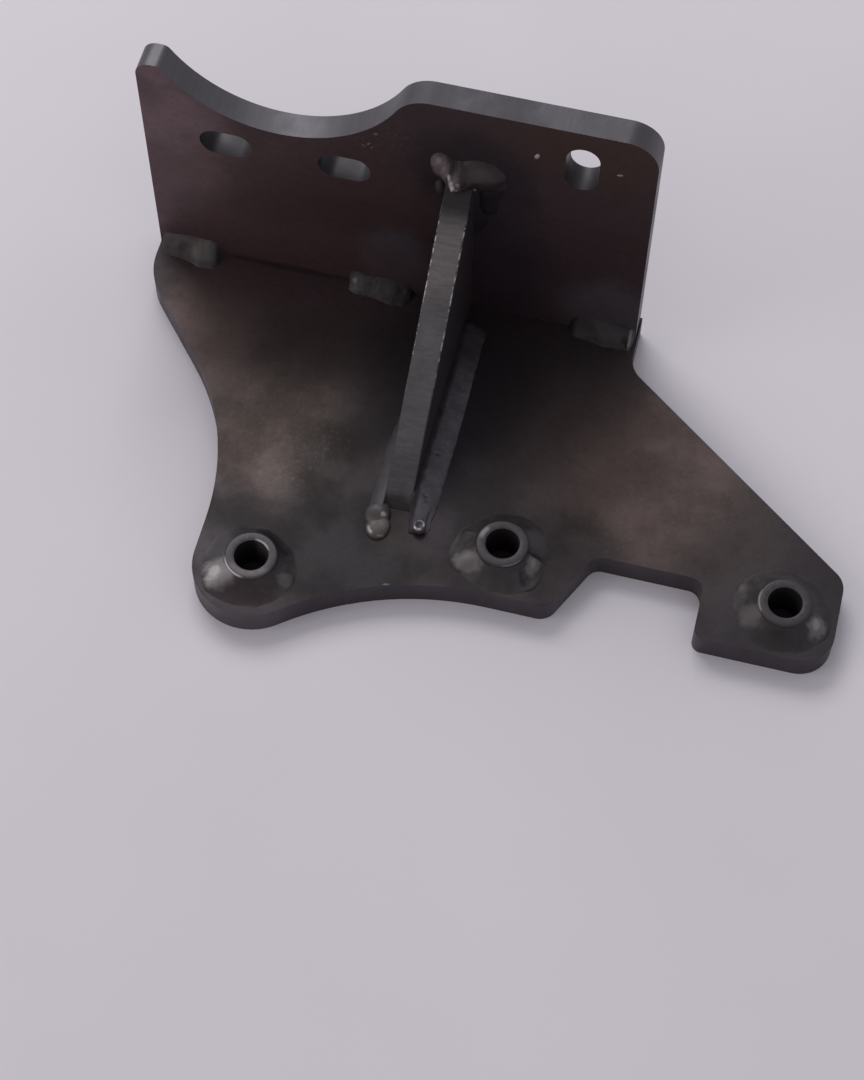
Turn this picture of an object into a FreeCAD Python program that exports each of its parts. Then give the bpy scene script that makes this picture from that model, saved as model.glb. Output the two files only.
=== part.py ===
import FreeCAD, Part
import math
import os
import Sketcher

# A welded steel bracket that carries an exhaust muffler. It has a flat base with
# three bushes, an upright with a cradle, a triangular gusset and the weld beads.
# Origin: axis of the middle bush, in the plane of the base's underside.
# +X runs along the joint of the two plates, +Y from the bushes to the upright, +Z up.

sizes = {
    # sheet thicknesses
    "base_thick": 6.0,
    "upright_thick": 6.0,
    "gusset_thick": 6.0,
    # base, from the middle bush's axis
    "joint_front_y": 59.5,
    "base_left_x": -93.0,
    "base_right_x": 16.7,
    "front_edge_y": -10.6,
    "front_corner_x": 12.3,
    "front_corner_round": 4.0,
    "notch_left_x": 19.2,
    "notch_top_y": 3.65,
    "notch_round": 3.0,
    "shoulder_start": 7.7,
    "shoulder_round": 6.5,
    "waist_start": 9.2,
    "waist_top_round": 15.0,
    "waist_low_round": 60.0,
    "bay_round": 65.0,
    # tab, from the right bush's axis
    "tab_left": 16.9,
    "tab_front": 10.7,
    "tab_right": 11.4,
    "tab_back": 9.8,
    "tab_left_round": 2.3,
    "tab_right_round": 7.0,
    "tab_back_round": 5.0,
    # lobe, round the left bush's axis
    "lobe_round": 12.5,
    "lobe_to_waist": 30.7,
    # bushes
    "left_bush_x": -49.8,
    "left_bush_y": -15.5,
    "right_bush_x": 59.3,
    "right_bush_y": 0.65,
    "bush_bore": 7.0,
    "bush_outside": 11.2,
    "bush_stand": 3.5,
    "bush_bore_break": 0.2,
    "bush_rim_break": 0.3,
    "bush_clearance": 0.1,
    # upright
    "upright_height": 64.9,
    "upright_left_step": 0.1,
    "upright_right_step": 0.5,
    "upright_corner_round": 7.0,
    "cradle_round": 29.1,
    "cradle_from_left": 30.0,
    "cradle_rise": 10.4,
    "cradle_lip_round": 8.0,
    "tip_drop": 5.05,
    "tip_corner_round": 3.4,
    "tip_lip_round": 2.0,
    "slot_width": 7.0,
    "slot_length": 11.4,
    "slot_spacing": 25.8,
    "slots_shift": 0.9,
    "slots_below_cradle": 36.0,
    "stud_slot_length": 12.4,
    "stud_slot_from_right": 15.3,
    "stud_slot_from_top": 10.9,
    # gusset
    "gusset_x": -24.0,
    "gusset_height": 44.2,
    "gusset_reach": 55.1,
    # weld stitches in the corner: length, radius of the face and depth of its axis
    "stitch_left_inset": 0.6,
    "stitch_left_length": 15.0,
    "stitch_left_round": 5.2,
    "stitch_left_back": 0.4,
    "stitch_left_down": 1.0,
    "stitch_middle_gap": 6.9,
    "stitch_middle_length": 15.5,
    "stitch_middle_round": 4.5,
    "stitch_middle_back": 1.3,
    "stitch_middle_down": 0.3,
    "stitch_right_inset": 0.8,
    "stitch_right_length": 15.2,
    "stitch_right_round": 5.6,
    "stitch_right_back": 2.1,
    "stitch_right_down": 0.1,
    # weld beads along the gusset's foot, and how far they run past its toe
    "foot_left_round": 3.3,
    "foot_left_sink": 0.5,
    "foot_left_over": 8.5,
    "foot_right_round": 5.4,
    "foot_right_sink": 0.4,
    "foot_right_over": 5.0,
    "foot_right_gap": 4.5,
    # weld beads at the gusset's top, and how far they run below and above its tip
    "top_left_round": 3.3,
    "top_left_down": 6.9,
    "top_left_up": 5.1,
    "top_right_round": 5.9,
    "top_right_down": 18.7,
    "top_right_up": 5.7,
    "top_seam_shift": 1.4,
    # where a bead runs out thin, and where it stops short
    "taper_length": 4.0,
    "taper_tip": 1.0,
    "stop_length": 2.2,
    "stop_tip": 3.9,
    # weld fillets round the bushes
    "skirt_toe": 4.4,
    "skirt_rise": 3.1,
}

doc = FreeCAD.newDocument("muffler_mount")
sheet = doc.addObject("Spreadsheet::Sheet", "sizes")
for row, (name, value) in enumerate(sizes.items(), 1):
    sheet.set(f"A{row}", name)
    sheet.set(f"B{row}", str(value))
    sheet.setAlias(f"B{row}", name)
doc.recompute()

sub_parts = []
FULL_TURN = 360.0
START, END, CENTRE = 1, 2, 3
X_AXIS = FreeCAD.Vector(1, 0, 0)
Y_AXIS = FreeCAD.Vector(0, 1, 0)
Z_AXIS = FreeCAD.Vector(0, 0, 1)


def worth(expression):
    return float(sheet.evalExpression(expression))


def point(x, y):
    return FreeCAD.Vector(x, y, 0)


def new_body(label):
    body = doc.addObject("PartDesign::Body", label)
    body.Label = label
    sub_parts.append(body)
    return body


def new_sketch(body, name, role):
    sketch = body.newObject("Sketcher::SketchObject", name)
    plane = [part for part in body.Origin.OriginFeatures if part.Role == role][0]
    sketch.AttachmentSupport = [(plane, "")]
    sketch.MapMode = "FlatFace"
    return sketch


def move(feature, x=None, y=None, z=None):
    for axis, expression in (("x", x), ("y", y), ("z", z)):
        if expression is not None:
            feature.setExpression(f"Placement.Base.{axis}", expression)


def dimension(sketch, kind, place, expression):
    index = sketch.addConstraint(Sketcher.Constraint(kind, *place, worth(expression)))
    sketch.setExpression(f"Constraints[{index}]", expression)


def locate(sketch, geometry, spot, x=None, y=None):
    if x is not None:
        dimension(sketch, "DistanceX", (-1, 1, geometry, spot), x)
    if y is not None:
        dimension(sketch, "DistanceY", (-1, 1, geometry, spot), y)


def join(sketch, kind, first, second):
    sketch.addConstraint(Sketcher.Constraint(kind, *first, *second))


def add_arc(sketch, centre, begin, end):
    # An arc runs counter-clockwise, from begin to end.
    circle = Part.Circle(centre, Z_AXIS, centre.distanceToPoint(begin))
    first = math.atan2(begin.y - centre.y, begin.x - centre.x)
    last = math.atan2(end.y - centre.y, end.x - centre.x)
    return sketch.addGeometry(Part.ArcOfCircle(circle, first, last), False)


def add_line(sketch, begin, end):
    return sketch.addGeometry(Part.LineSegment(begin, end), False)


def outline(sketch, corners, begin=None, end=None):
    # Straight edges through the corners, counter-clockwise. A corner is its x, its y
    # and, where it is rounded, its radius. Without begin and end the outline closes.
    spots = [point(worth(corner[0]), worth(corner[1])) for corner in corners]
    closed = begin is None
    chain = spots if closed else [begin] + spots + [end]
    arrivals = []
    departures = []
    for index, corner in enumerate(corners):
        place = index if closed else index + 1
        before = (chain[place - 1] - chain[place]).normalize()
        after = (chain[(place + 1) % len(chain)] - chain[place]).normalize()
        radius = worth(corner[2]) if len(corner) > 2 else 0.0
        tangent = radius / math.tan(before.getAngle(after) / 2)
        arrivals.append(spots[index] + before * tangent)
        departures.append(spots[index] + after * tangent)
    if closed:
        starts = departures
        stops = arrivals[1:] + arrivals[:1]
    else:
        starts = [begin] + departures
        stops = arrivals + [end]
    lines = [add_line(sketch, *ends) for ends in zip(starts, stops)]
    for index, corner in enumerate(corners):
        line_in = lines[index - 1] if closed else lines[index]
        line_out = lines[index] if closed else lines[index + 1]
        if len(corner) == 2:
            join(sketch, "Coincident", (line_in, END), (line_out, START))
            locate(sketch, line_out, START, *corner)
            continue
        radius = worth(corner[2])
        arrival = arrivals[index]
        departure = departures[index]
        inward = ((arrival - spots[index]) + (departure - spots[index])).normalize()
        reach = math.hypot(radius, arrival.distanceToPoint(spots[index]))
        centre = spots[index] + inward * reach
        turn = (spots[index] - arrival).cross(departure - spots[index]).z
        if turn > 0:
            arc = add_arc(sketch, centre, arrival, departure)
            arc_in, arc_out = START, END
        else:
            arc = add_arc(sketch, centre, departure, arrival)
            arc_in, arc_out = END, START
        join(sketch, "Tangent", (line_in, END), (arc, arc_in))
        join(sketch, "Tangent", (arc, arc_out), (line_out, START))
        dimension(sketch, "Radius", (arc,), corner[2])
        mark = sketch.addGeometry(Part.Point(spots[index]), True)
        join(sketch, "PointOnObject", (mark, 1), (line_in,))
        join(sketch, "PointOnObject", (mark, 1), (line_out,))
        locate(sketch, mark, 1, *corner[:2])
    return lines


def add_circle(sketch, x, y, diameter):
    centre = point(worth(x), worth(y))
    circle = sketch.addGeometry(Part.Circle(centre, Z_AXIS, worth(diameter) / 2), False)
    dimension(sketch, "Diameter", (circle,), diameter)
    locate(sketch, circle, CENTRE, x, y)


def add_slot(sketch, x, y, length, width, standing=False):
    # A hole with round ends, lying along x or standing along y.
    half = f"({length} - {width}) / 2"
    along = Y_AXIS if standing else X_AXIS
    across = along.cross(Z_AXIS)
    middle = point(worth(x), worth(y))
    radius = worth(width) / 2
    low = middle - along * worth(half)
    high = middle + along * worth(half)
    first = add_arc(sketch, high, high + across * radius, high - across * radius)
    second = add_arc(sketch, low, low - across * radius, low + across * radius)
    back = add_line(sketch, high - across * radius, low - across * radius)
    front = add_line(sketch, low + across * radius, high + across * radius)
    join(sketch, "Tangent", (first, END), (back, START))
    join(sketch, "Tangent", (back, END), (second, START))
    join(sketch, "Tangent", (second, END), (front, START))
    join(sketch, "Tangent", (front, END), (first, START))
    join(sketch, "Equal", (first,), (second,))
    dimension(sketch, "Radius", (first,), f"{width} / 2")
    if standing:
        locate(sketch, first, CENTRE, x, f"{y} + {half}")
        locate(sketch, second, CENTRE, x, f"{y} - {half}")
    else:
        locate(sketch, first, CENTRE, f"{x} + {half}", y)
        locate(sketch, second, CENTRE, f"{x} - {half}", y)


def add_pad(body, sketch, length):
    pad = body.newObject("PartDesign::Pad", f"{body.Label}_pad")
    pad.Profile = sketch
    pad.setExpression("Length", length)
    return pad


def add_revolution(body, sketch):
    turned = body.newObject("PartDesign::Revolution", f"{body.Label}_turned")
    turned.Profile = sketch
    turned.ReferenceAxis = (sketch, ["V_Axis"])
    turned.Angle = FULL_TURN
    return turned


# Base plate: one laser-cut outline. The left lobe is concentric with its bush and
# meets the front edge in a hollow bay, and the notch frees the right bush's tab.
bushes = {
    "left": ("sizes.left_bush_x", "sizes.left_bush_y"),
    "middle": ("0", "0"),
    "right": ("sizes.right_bush_x", "sizes.right_bush_y"),
}
joint_back = "sizes.joint_front_y + sizes.upright_thick"
tab_left = "sizes.right_bush_x - sizes.tab_left"
tab_right = "sizes.right_bush_x + sizes.tab_right"
tab_front = "sizes.right_bush_y - sizes.tab_front"
tab_back = "sizes.right_bush_y + sizes.tab_back"
waist_x = "sizes.left_bush_x - sizes.lobe_round"
waist_y = "sizes.left_bush_y + sizes.lobe_to_waist"
waist_top = "sizes.joint_front_y - sizes.waist_start"
shoulder = "sizes.joint_front_y - sizes.shoulder_start"

base = new_body("base_plate")
base_sketch = new_sketch(base, "base_outline", "XY_Plane")
lobe_centre = point(worth("sizes.left_bush_x"), worth("sizes.left_bush_y"))
bay_drop = worth("sizes.left_bush_y - sizes.front_edge_y + sizes.bay_round")
bay_shift = math.sqrt(worth("sizes.lobe_round + sizes.bay_round") ** 2 - bay_drop**2)
bay_centre = lobe_centre + point(bay_shift, -bay_drop)
bay_start = bay_centre + Y_AXIS * worth("sizes.bay_round")
bay_end = lobe_centre + (bay_centre - lobe_centre).normalize() * worth("sizes.lobe_round")
lobe_start = lobe_centre - X_AXIS * worth("sizes.lobe_round")
base_edges = outline(
    base_sketch,
    [
        ("sizes.front_corner_x", "sizes.front_edge_y", "sizes.front_corner_round"),
        ("sizes.notch_left_x", "sizes.notch_top_y", "sizes.notch_round"),
        (tab_left, "sizes.notch_top_y", "sizes.notch_round"),
        (tab_left, tab_front, "sizes.tab_left_round"),
        (tab_right, tab_front, "sizes.tab_right_round"),
        (tab_right, tab_back, "sizes.tab_back_round"),
        ("sizes.base_right_x", shoulder, "sizes.shoulder_round"),
        ("sizes.base_right_x", joint_back),
        ("sizes.base_left_x", joint_back),
        ("sizes.base_left_x", waist_top, "sizes.waist_top_round"),
        (waist_x, waist_y, "sizes.waist_low_round"),
    ],
    bay_start,
    lobe_start,
)
lobe = add_arc(base_sketch, lobe_centre, lobe_start, bay_end)
bay = add_arc(base_sketch, bay_centre, bay_start, bay_end)
join(base_sketch, "Tangent", (base_edges[-1], END), (lobe, START))
join(base_sketch, "Tangent", (lobe, END), (bay, END))
join(base_sketch, "Tangent", (bay, START), (base_edges[0], START))
locate(base_sketch, lobe, CENTRE, *bushes["left"])
dimension(base_sketch, "Radius", (bay,), "sizes.bay_round")
base_sketch.addConstraint(Sketcher.Constraint("Horizontal", base_edges[0]))
base_sketch.addConstraint(Sketcher.Constraint("Vertical", base_edges[-1]))
for bush_x, bush_y in bushes.values():
    add_circle(base_sketch, bush_x, bush_y, "sizes.bush_outside + 2 * sizes.bush_clearance")
add_pad(base, base_sketch, "sizes.base_thick")

# Upright plate: stands on the base's back edge. The cradle takes the muffler's body,
# the two lying slots its clamp and the standing slot a stud.
upright_left = "sizes.base_left_x + sizes.upright_left_step"
upright_right = "sizes.base_right_x - sizes.upright_right_step"
cradle_x = f"{upright_left} + sizes.cradle_from_left"
cradle_height = "sizes.upright_height + sizes.cradle_rise"
tip_height = "sizes.upright_height - sizes.tip_drop"
slot_height = f"{cradle_height} - sizes.slots_below_cradle"
stud_slot_x = f"{upright_right} - sizes.stud_slot_from_right"
stud_slot_height = "sizes.upright_height - sizes.stud_slot_from_top"

upright = new_body("upright_plate")
upright_sketch = new_sketch(upright, "upright_outline", "XZ_Plane")
cradle_centre = point(worth(cradle_x), worth(cradle_height))


def lip_centre(height, lip_round, side):
    # A lip rounds the cradle's edge into a level edge at the given height.
    radius = worth(lip_round)
    drop = cradle_centre.y - (worth(height) - radius)
    shift = math.sqrt((worth("sizes.cradle_round") + radius) ** 2 - drop**2)
    return cradle_centre + point(side * shift, -drop)


def cradle_end(centre):
    outward = (centre - cradle_centre).normalize()
    return cradle_centre + outward * worth("sizes.cradle_round")


tip_lip_centre = lip_centre(tip_height, "sizes.tip_lip_round", -1)
top_lip_centre = lip_centre("sizes.upright_height", "sizes.cradle_lip_round", 1)
tip_start = tip_lip_centre + Y_AXIS * worth("sizes.tip_lip_round")
top_end = top_lip_centre + Y_AXIS * worth("sizes.cradle_lip_round")
upright_edges = outline(
    upright_sketch,
    [
        (upright_left, tip_height, "sizes.tip_corner_round"),
        (upright_left, "0"),
        (upright_right, "0"),
        (upright_right, "sizes.upright_height", "sizes.upright_corner_round"),
    ],
    tip_start,
    top_end,
)
top_lip = add_arc(upright_sketch, top_lip_centre, top_end, cradle_end(top_lip_centre))
cradle = add_arc(
    upright_sketch, cradle_centre, cradle_end(tip_lip_centre), cradle_end(top_lip_centre)
)
tip_lip = add_arc(upright_sketch, tip_lip_centre, cradle_end(tip_lip_centre), tip_start)
join(upright_sketch, "Tangent", (upright_edges[-1], END), (top_lip, START))
join(upright_sketch, "Tangent", (top_lip, END), (cradle, END))
join(upright_sketch, "Tangent", (cradle, START), (tip_lip, START))
join(upright_sketch, "Tangent", (tip_lip, END), (upright_edges[0], START))
dimension(upright_sketch, "Radius", (top_lip,), "sizes.cradle_lip_round")
dimension(upright_sketch, "Radius", (cradle,), "sizes.cradle_round")
dimension(upright_sketch, "Radius", (tip_lip,), "sizes.tip_lip_round")
locate(upright_sketch, cradle, CENTRE, cradle_x, cradle_height)
upright_sketch.addConstraint(Sketcher.Constraint("Horizontal", upright_edges[0]))
upright_sketch.addConstraint(Sketcher.Constraint("Horizontal", upright_edges[-1]))
for sign in ("-", "+"):
    add_slot(
        upright_sketch,
        f"{cradle_x} + sizes.slots_shift {sign} sizes.slot_spacing / 2",
        slot_height,
        "sizes.slot_length",
        "sizes.slot_width",
    )
add_slot(
    upright_sketch,
    stud_slot_x,
    stud_slot_height,
    "sizes.stud_slot_length",
    "sizes.slot_width",
    standing=True,
)
upright_pad = add_pad(upright, upright_sketch, "sizes.upright_thick")
upright_pad.Reversed = True
move(upright, y="sizes.joint_front_y", z="sizes.base_thick")

# Gusset: a right triangle in the corner between the two plates.
gusset = new_body("gusset_plate")
gusset_sketch = new_sketch(gusset, "gusset_outline", "YZ_Plane")
outline(
    gusset_sketch,
    [("0", "0"), ("0", "sizes.gusset_height"), ("-sizes.gusset_reach", "0")],
)
add_pad(gusset, gusset_sketch, "sizes.gusset_thick")
move(
    gusset,
    "sizes.gusset_x - sizes.gusset_thick / 2",
    "sizes.joint_front_y",
    "sizes.base_thick",
)

# Bushes: turned sleeves through the base, flush below, each welded round above.
bush_inner = "sizes.bush_bore / 2"
bush_outer = "sizes.bush_outside / 2"
bush_top = "sizes.base_thick + sizes.bush_stand"
for side, (bush_x, bush_y) in bushes.items():
    bush = new_body(f"bush_{side}")
    profile = new_sketch(bush, f"bush_profile_{side}", "XZ_Plane")
    outline(
        profile,
        [
            (bush_inner, "0"),
            (bush_outer, "0"),
            (bush_outer, f"{bush_top} - sizes.bush_rim_break"),
            (f"{bush_outer} - sizes.bush_rim_break", bush_top),
            (f"{bush_inner} + sizes.bush_bore_break", bush_top),
            (bush_inner, f"{bush_top} - sizes.bush_bore_break"),
        ],
    )
    add_revolution(bush, profile)
    move(bush, bush_x, bush_y)

    skirt = new_body(f"weld_bush_{side}")
    fillet = new_sketch(skirt, f"skirt_profile_{side}", "XZ_Plane")
    outline(
        fillet,
        [
            (bush_outer, "0"),
            (f"{bush_outer} + sizes.skirt_toe", "0"),
            (bush_outer, "sizes.skirt_rise"),
        ],
    )
    add_revolution(skirt, fillet)
    move(skirt, bush_x, bush_y, "sizes.base_thick")


def add_sphere(name, radius, x, y, z):
    ball = doc.addObject("Part::Sphere", name)
    ball.setExpression("Radius", radius)
    move(ball, x, y, z)
    return ball


def add_box(name, low, high):
    box = doc.addObject("Part::Box", name)
    for side, first, last in zip(("Length", "Width", "Height"), low, high):
        box.setExpression(side, f"({last}) - ({first})")
    move(box, *low)
    return box


def add_cone(name, radius, form, direction, x, y, z):
    cone = doc.addObject("Part::Cone", name)
    cone.setExpression("Radius1", radius)
    cone.setExpression("Radius2", f"sizes.{form}_tip")
    cone.setExpression("Height", f"sizes.{form}_length")
    cone.Placement.Rotation = FreeCAD.Rotation(Z_AXIS, direction)
    move(cone, x, y, z)
    return cone


def add_bead(label, along, start, length, radius, low, high, ends, cutter=None):
    # A bead is a round bar of the given length, with a dome or a cone past each end.
    # The box from low to high keeps what lies outside the plates.
    bar = doc.addObject("Part::Cylinder", f"{label}_bar")
    bar.setExpression("Radius", radius)
    bar.setExpression("Height", length)
    bar.Placement.Rotation = FreeCAD.Rotation(Z_AXIS, along)
    move(bar, *start)
    finish = [
        f"{place} + {length}" if share else place for place, share in zip(start, along)
    ]
    pieces = [bar]
    for form, place, direction in zip(ends, (start, finish), (along * -1, along)):
        name = f"{label}_{form}_{len(pieces)}"
        if form == "dome":
            pieces.append(add_sphere(name, radius, *place))
        elif form != "flat":
            pieces.append(add_cone(name, radius, form, direction, *place))
    whole = doc.addObject("Part::MultiFuse", f"{label}_whole")
    whole.Shapes = pieces
    result = doc.addObject("Part::Common", f"{label}_kept" if cutter else label)
    result.Base = whole
    result.Tool = add_box(f"{label}_space", low, high)
    if cutter:
        kept = result
        result = doc.addObject("Part::Cut", label)
        result.Base = kept
        result.Tool = cutter
    result.Label = label
    sub_parts.append(result)


# Stitches: three short beads in the corner between the plates.
plate_top = "sizes.base_thick"
joint = "sizes.joint_front_y"
gusset_left = "(sizes.gusset_x - sizes.gusset_thick / 2)"
gusset_right = "(sizes.gusset_x + sizes.gusset_thick / 2)"
for side, left_end, ends in (
    ("left", "(sizes.base_left_x + sizes.stitch_left_inset)", ("dome", "taper")),
    (
        "middle",
        f"({gusset_left} - sizes.stitch_middle_gap - sizes.stitch_middle_length)",
        ("dome", "taper"),
    ),
    (
        "right",
        "(sizes.base_right_x - sizes.stitch_right_inset - sizes.stitch_right_length)",
        ("taper", "dome"),
    ),
):
    name = f"sizes.stitch_{side}"
    bead_round = f"{name}_round"
    buried = f"({name}_back ^ 2 + {name}_down ^ 2)"
    dome_reach = f"sqrt({bead_round} ^ 2 - {buried})"
    first_reach = dome_reach if ends[0] == "dome" else "sizes.taper_length"
    add_bead(
        f"weld_joint_{side}",
        X_AXIS,
        (f"{left_end} + {first_reach}", f"{joint} + {name}_back", f"{plate_top} - {name}_down"),
        f"{name}_length - {dome_reach} - sizes.taper_length",
        bead_round,
        (left_end, f"{joint} - 2 * {bead_round}", plate_top),
        (f"{left_end} + {name}_length", joint, f"{plate_top} + 2 * {bead_round}"),
        ends,
    )

# Foot beads: along both sides of the gusset. The left one wraps the gusset's toe.
toe_y = f"({joint} - sizes.gusset_reach)"
foot_end_left = f"({toe_y} - sizes.foot_left_over)"
foot_end_right = f"({toe_y} - sizes.foot_right_over)"
foot_start_right = f"({joint} - sizes.foot_right_gap)"
add_bead(
    "weld_gusset_left",
    Y_AXIS,
    (
        f"{gusset_left} + sizes.foot_left_sink",
        f"{foot_end_left} + sizes.foot_left_round",
        f"{plate_top} - sizes.foot_left_sink",
    ),
    f"{joint} - {foot_end_left} - sizes.foot_left_round",
    "sizes.foot_left_round",
    (f"{gusset_left} - 2 * sizes.foot_left_round", foot_end_left, plate_top),
    (gusset_right, joint, f"{plate_top} + 2 * sizes.foot_left_round"),
    ("dome", "flat"),
    gusset,
)
add_bead(
    "weld_gusset_right",
    Y_AXIS,
    (
        f"{gusset_right} - sizes.foot_right_sink",
        f"{foot_end_right} + sizes.foot_right_round",
        f"{plate_top} - sizes.foot_right_sink",
    ),
    f"{foot_start_right} - {foot_end_right} - sizes.foot_right_round - sizes.taper_length",
    "sizes.foot_right_round",
    (gusset_right, foot_end_right, plate_top),
    (
        f"{gusset_right} + 2 * sizes.foot_right_round",
        foot_start_right,
        f"{plate_top} + 2 * sizes.foot_right_round",
    ),
    ("dome", "taper"),
)

# Top beads: one on each side of the gusset's upper end. They close over its tip and
# meet in a seam.
seam_x = "sizes.gusset_x - sizes.top_seam_shift"
for side, face, low_x, high_x, form, reach in (
    (
        "left",
        gusset_left,
        f"{gusset_left} - 2 * sizes.top_left_round",
        seam_x,
        "dome",
        "sizes.top_left_round",
    ),
    (
        "right",
        gusset_right,
        seam_x,
        f"{gusset_right} + 2 * sizes.top_right_round",
        "stop",
        "sizes.stop_length",
    ),
):
    name = f"sizes.top_{side}"
    bead_low = f"({plate_top} + sizes.gusset_height - {name}_down)"
    bead_high = f"({plate_top} + sizes.gusset_height + {name}_up)"
    add_bead(
        f"weld_top_{side}",
        Z_AXIS,
        (face, joint, f"{bead_low} + sizes.taper_length"),
        f"{bead_high} - {bead_low} - sizes.taper_length - {reach}",
        f"{name}_round",
        (low_x, f"{joint} - 2 * {name}_round", bead_low),
        (high_x, joint, bead_high),
        ("taper", form),
        gusset,
    )

doc.recompute()

for feature in doc.Objects:
    for state in ("Invalid", "Error"):
        if state in feature.State:
            raise ValueError(f"{feature.Label} is {state}")
for sketch in doc.findObjects("Sketcher::SketchObject"):
    if not sketch.FullyConstrained:
        raise ValueError(f"{sketch.Label} is not fully constrained")
for sub_part in sub_parts:
    shape = sub_part.Shape
    if shape.isNull() or not shape.isValid() or len(shape.Solids) != 1:
        raise ValueError(f"{sub_part.Label} is not one valid solid")

os.makedirs("parts", exist_ok=True)
for sub_part in sub_parts:
    sub_part.Shape.exportStep(f"parts/{sub_part.Label}.step")
    box = sub_part.Shape.BoundBox
    print(
        f"{sub_part.Label}: x {box.XMin:.2f} {box.XMax:.2f}"
        f" y {box.YMin:.2f} {box.YMax:.2f} z {box.ZMin:.2f} {box.ZMax:.2f}"
    )
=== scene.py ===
from math import cos, exp, pi, radians, sin, sqrt

import bpy
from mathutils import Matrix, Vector, noise


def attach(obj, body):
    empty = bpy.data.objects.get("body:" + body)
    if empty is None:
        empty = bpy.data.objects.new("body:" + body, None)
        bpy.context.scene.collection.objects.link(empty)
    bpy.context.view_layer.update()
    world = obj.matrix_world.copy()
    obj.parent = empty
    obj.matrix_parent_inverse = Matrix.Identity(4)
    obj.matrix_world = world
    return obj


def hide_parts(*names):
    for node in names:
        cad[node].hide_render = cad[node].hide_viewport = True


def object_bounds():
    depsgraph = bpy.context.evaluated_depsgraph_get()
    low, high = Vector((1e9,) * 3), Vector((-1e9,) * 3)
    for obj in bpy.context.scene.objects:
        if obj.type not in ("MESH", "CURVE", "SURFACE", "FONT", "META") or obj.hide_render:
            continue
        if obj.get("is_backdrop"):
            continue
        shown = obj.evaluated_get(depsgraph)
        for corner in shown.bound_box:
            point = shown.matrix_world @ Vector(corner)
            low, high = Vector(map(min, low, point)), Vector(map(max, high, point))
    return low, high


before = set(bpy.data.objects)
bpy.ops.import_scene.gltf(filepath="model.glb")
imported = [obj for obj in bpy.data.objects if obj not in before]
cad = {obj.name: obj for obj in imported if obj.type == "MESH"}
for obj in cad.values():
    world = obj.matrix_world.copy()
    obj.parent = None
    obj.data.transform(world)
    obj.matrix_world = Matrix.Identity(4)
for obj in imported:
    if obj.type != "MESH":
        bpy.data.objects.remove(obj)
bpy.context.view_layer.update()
mm = 0.001
baseTop = 6  # in mm, like every measure in the dictionaries below
uprightFace = 59.5
print("frame loaded,", len(cad), "solids")


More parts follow.
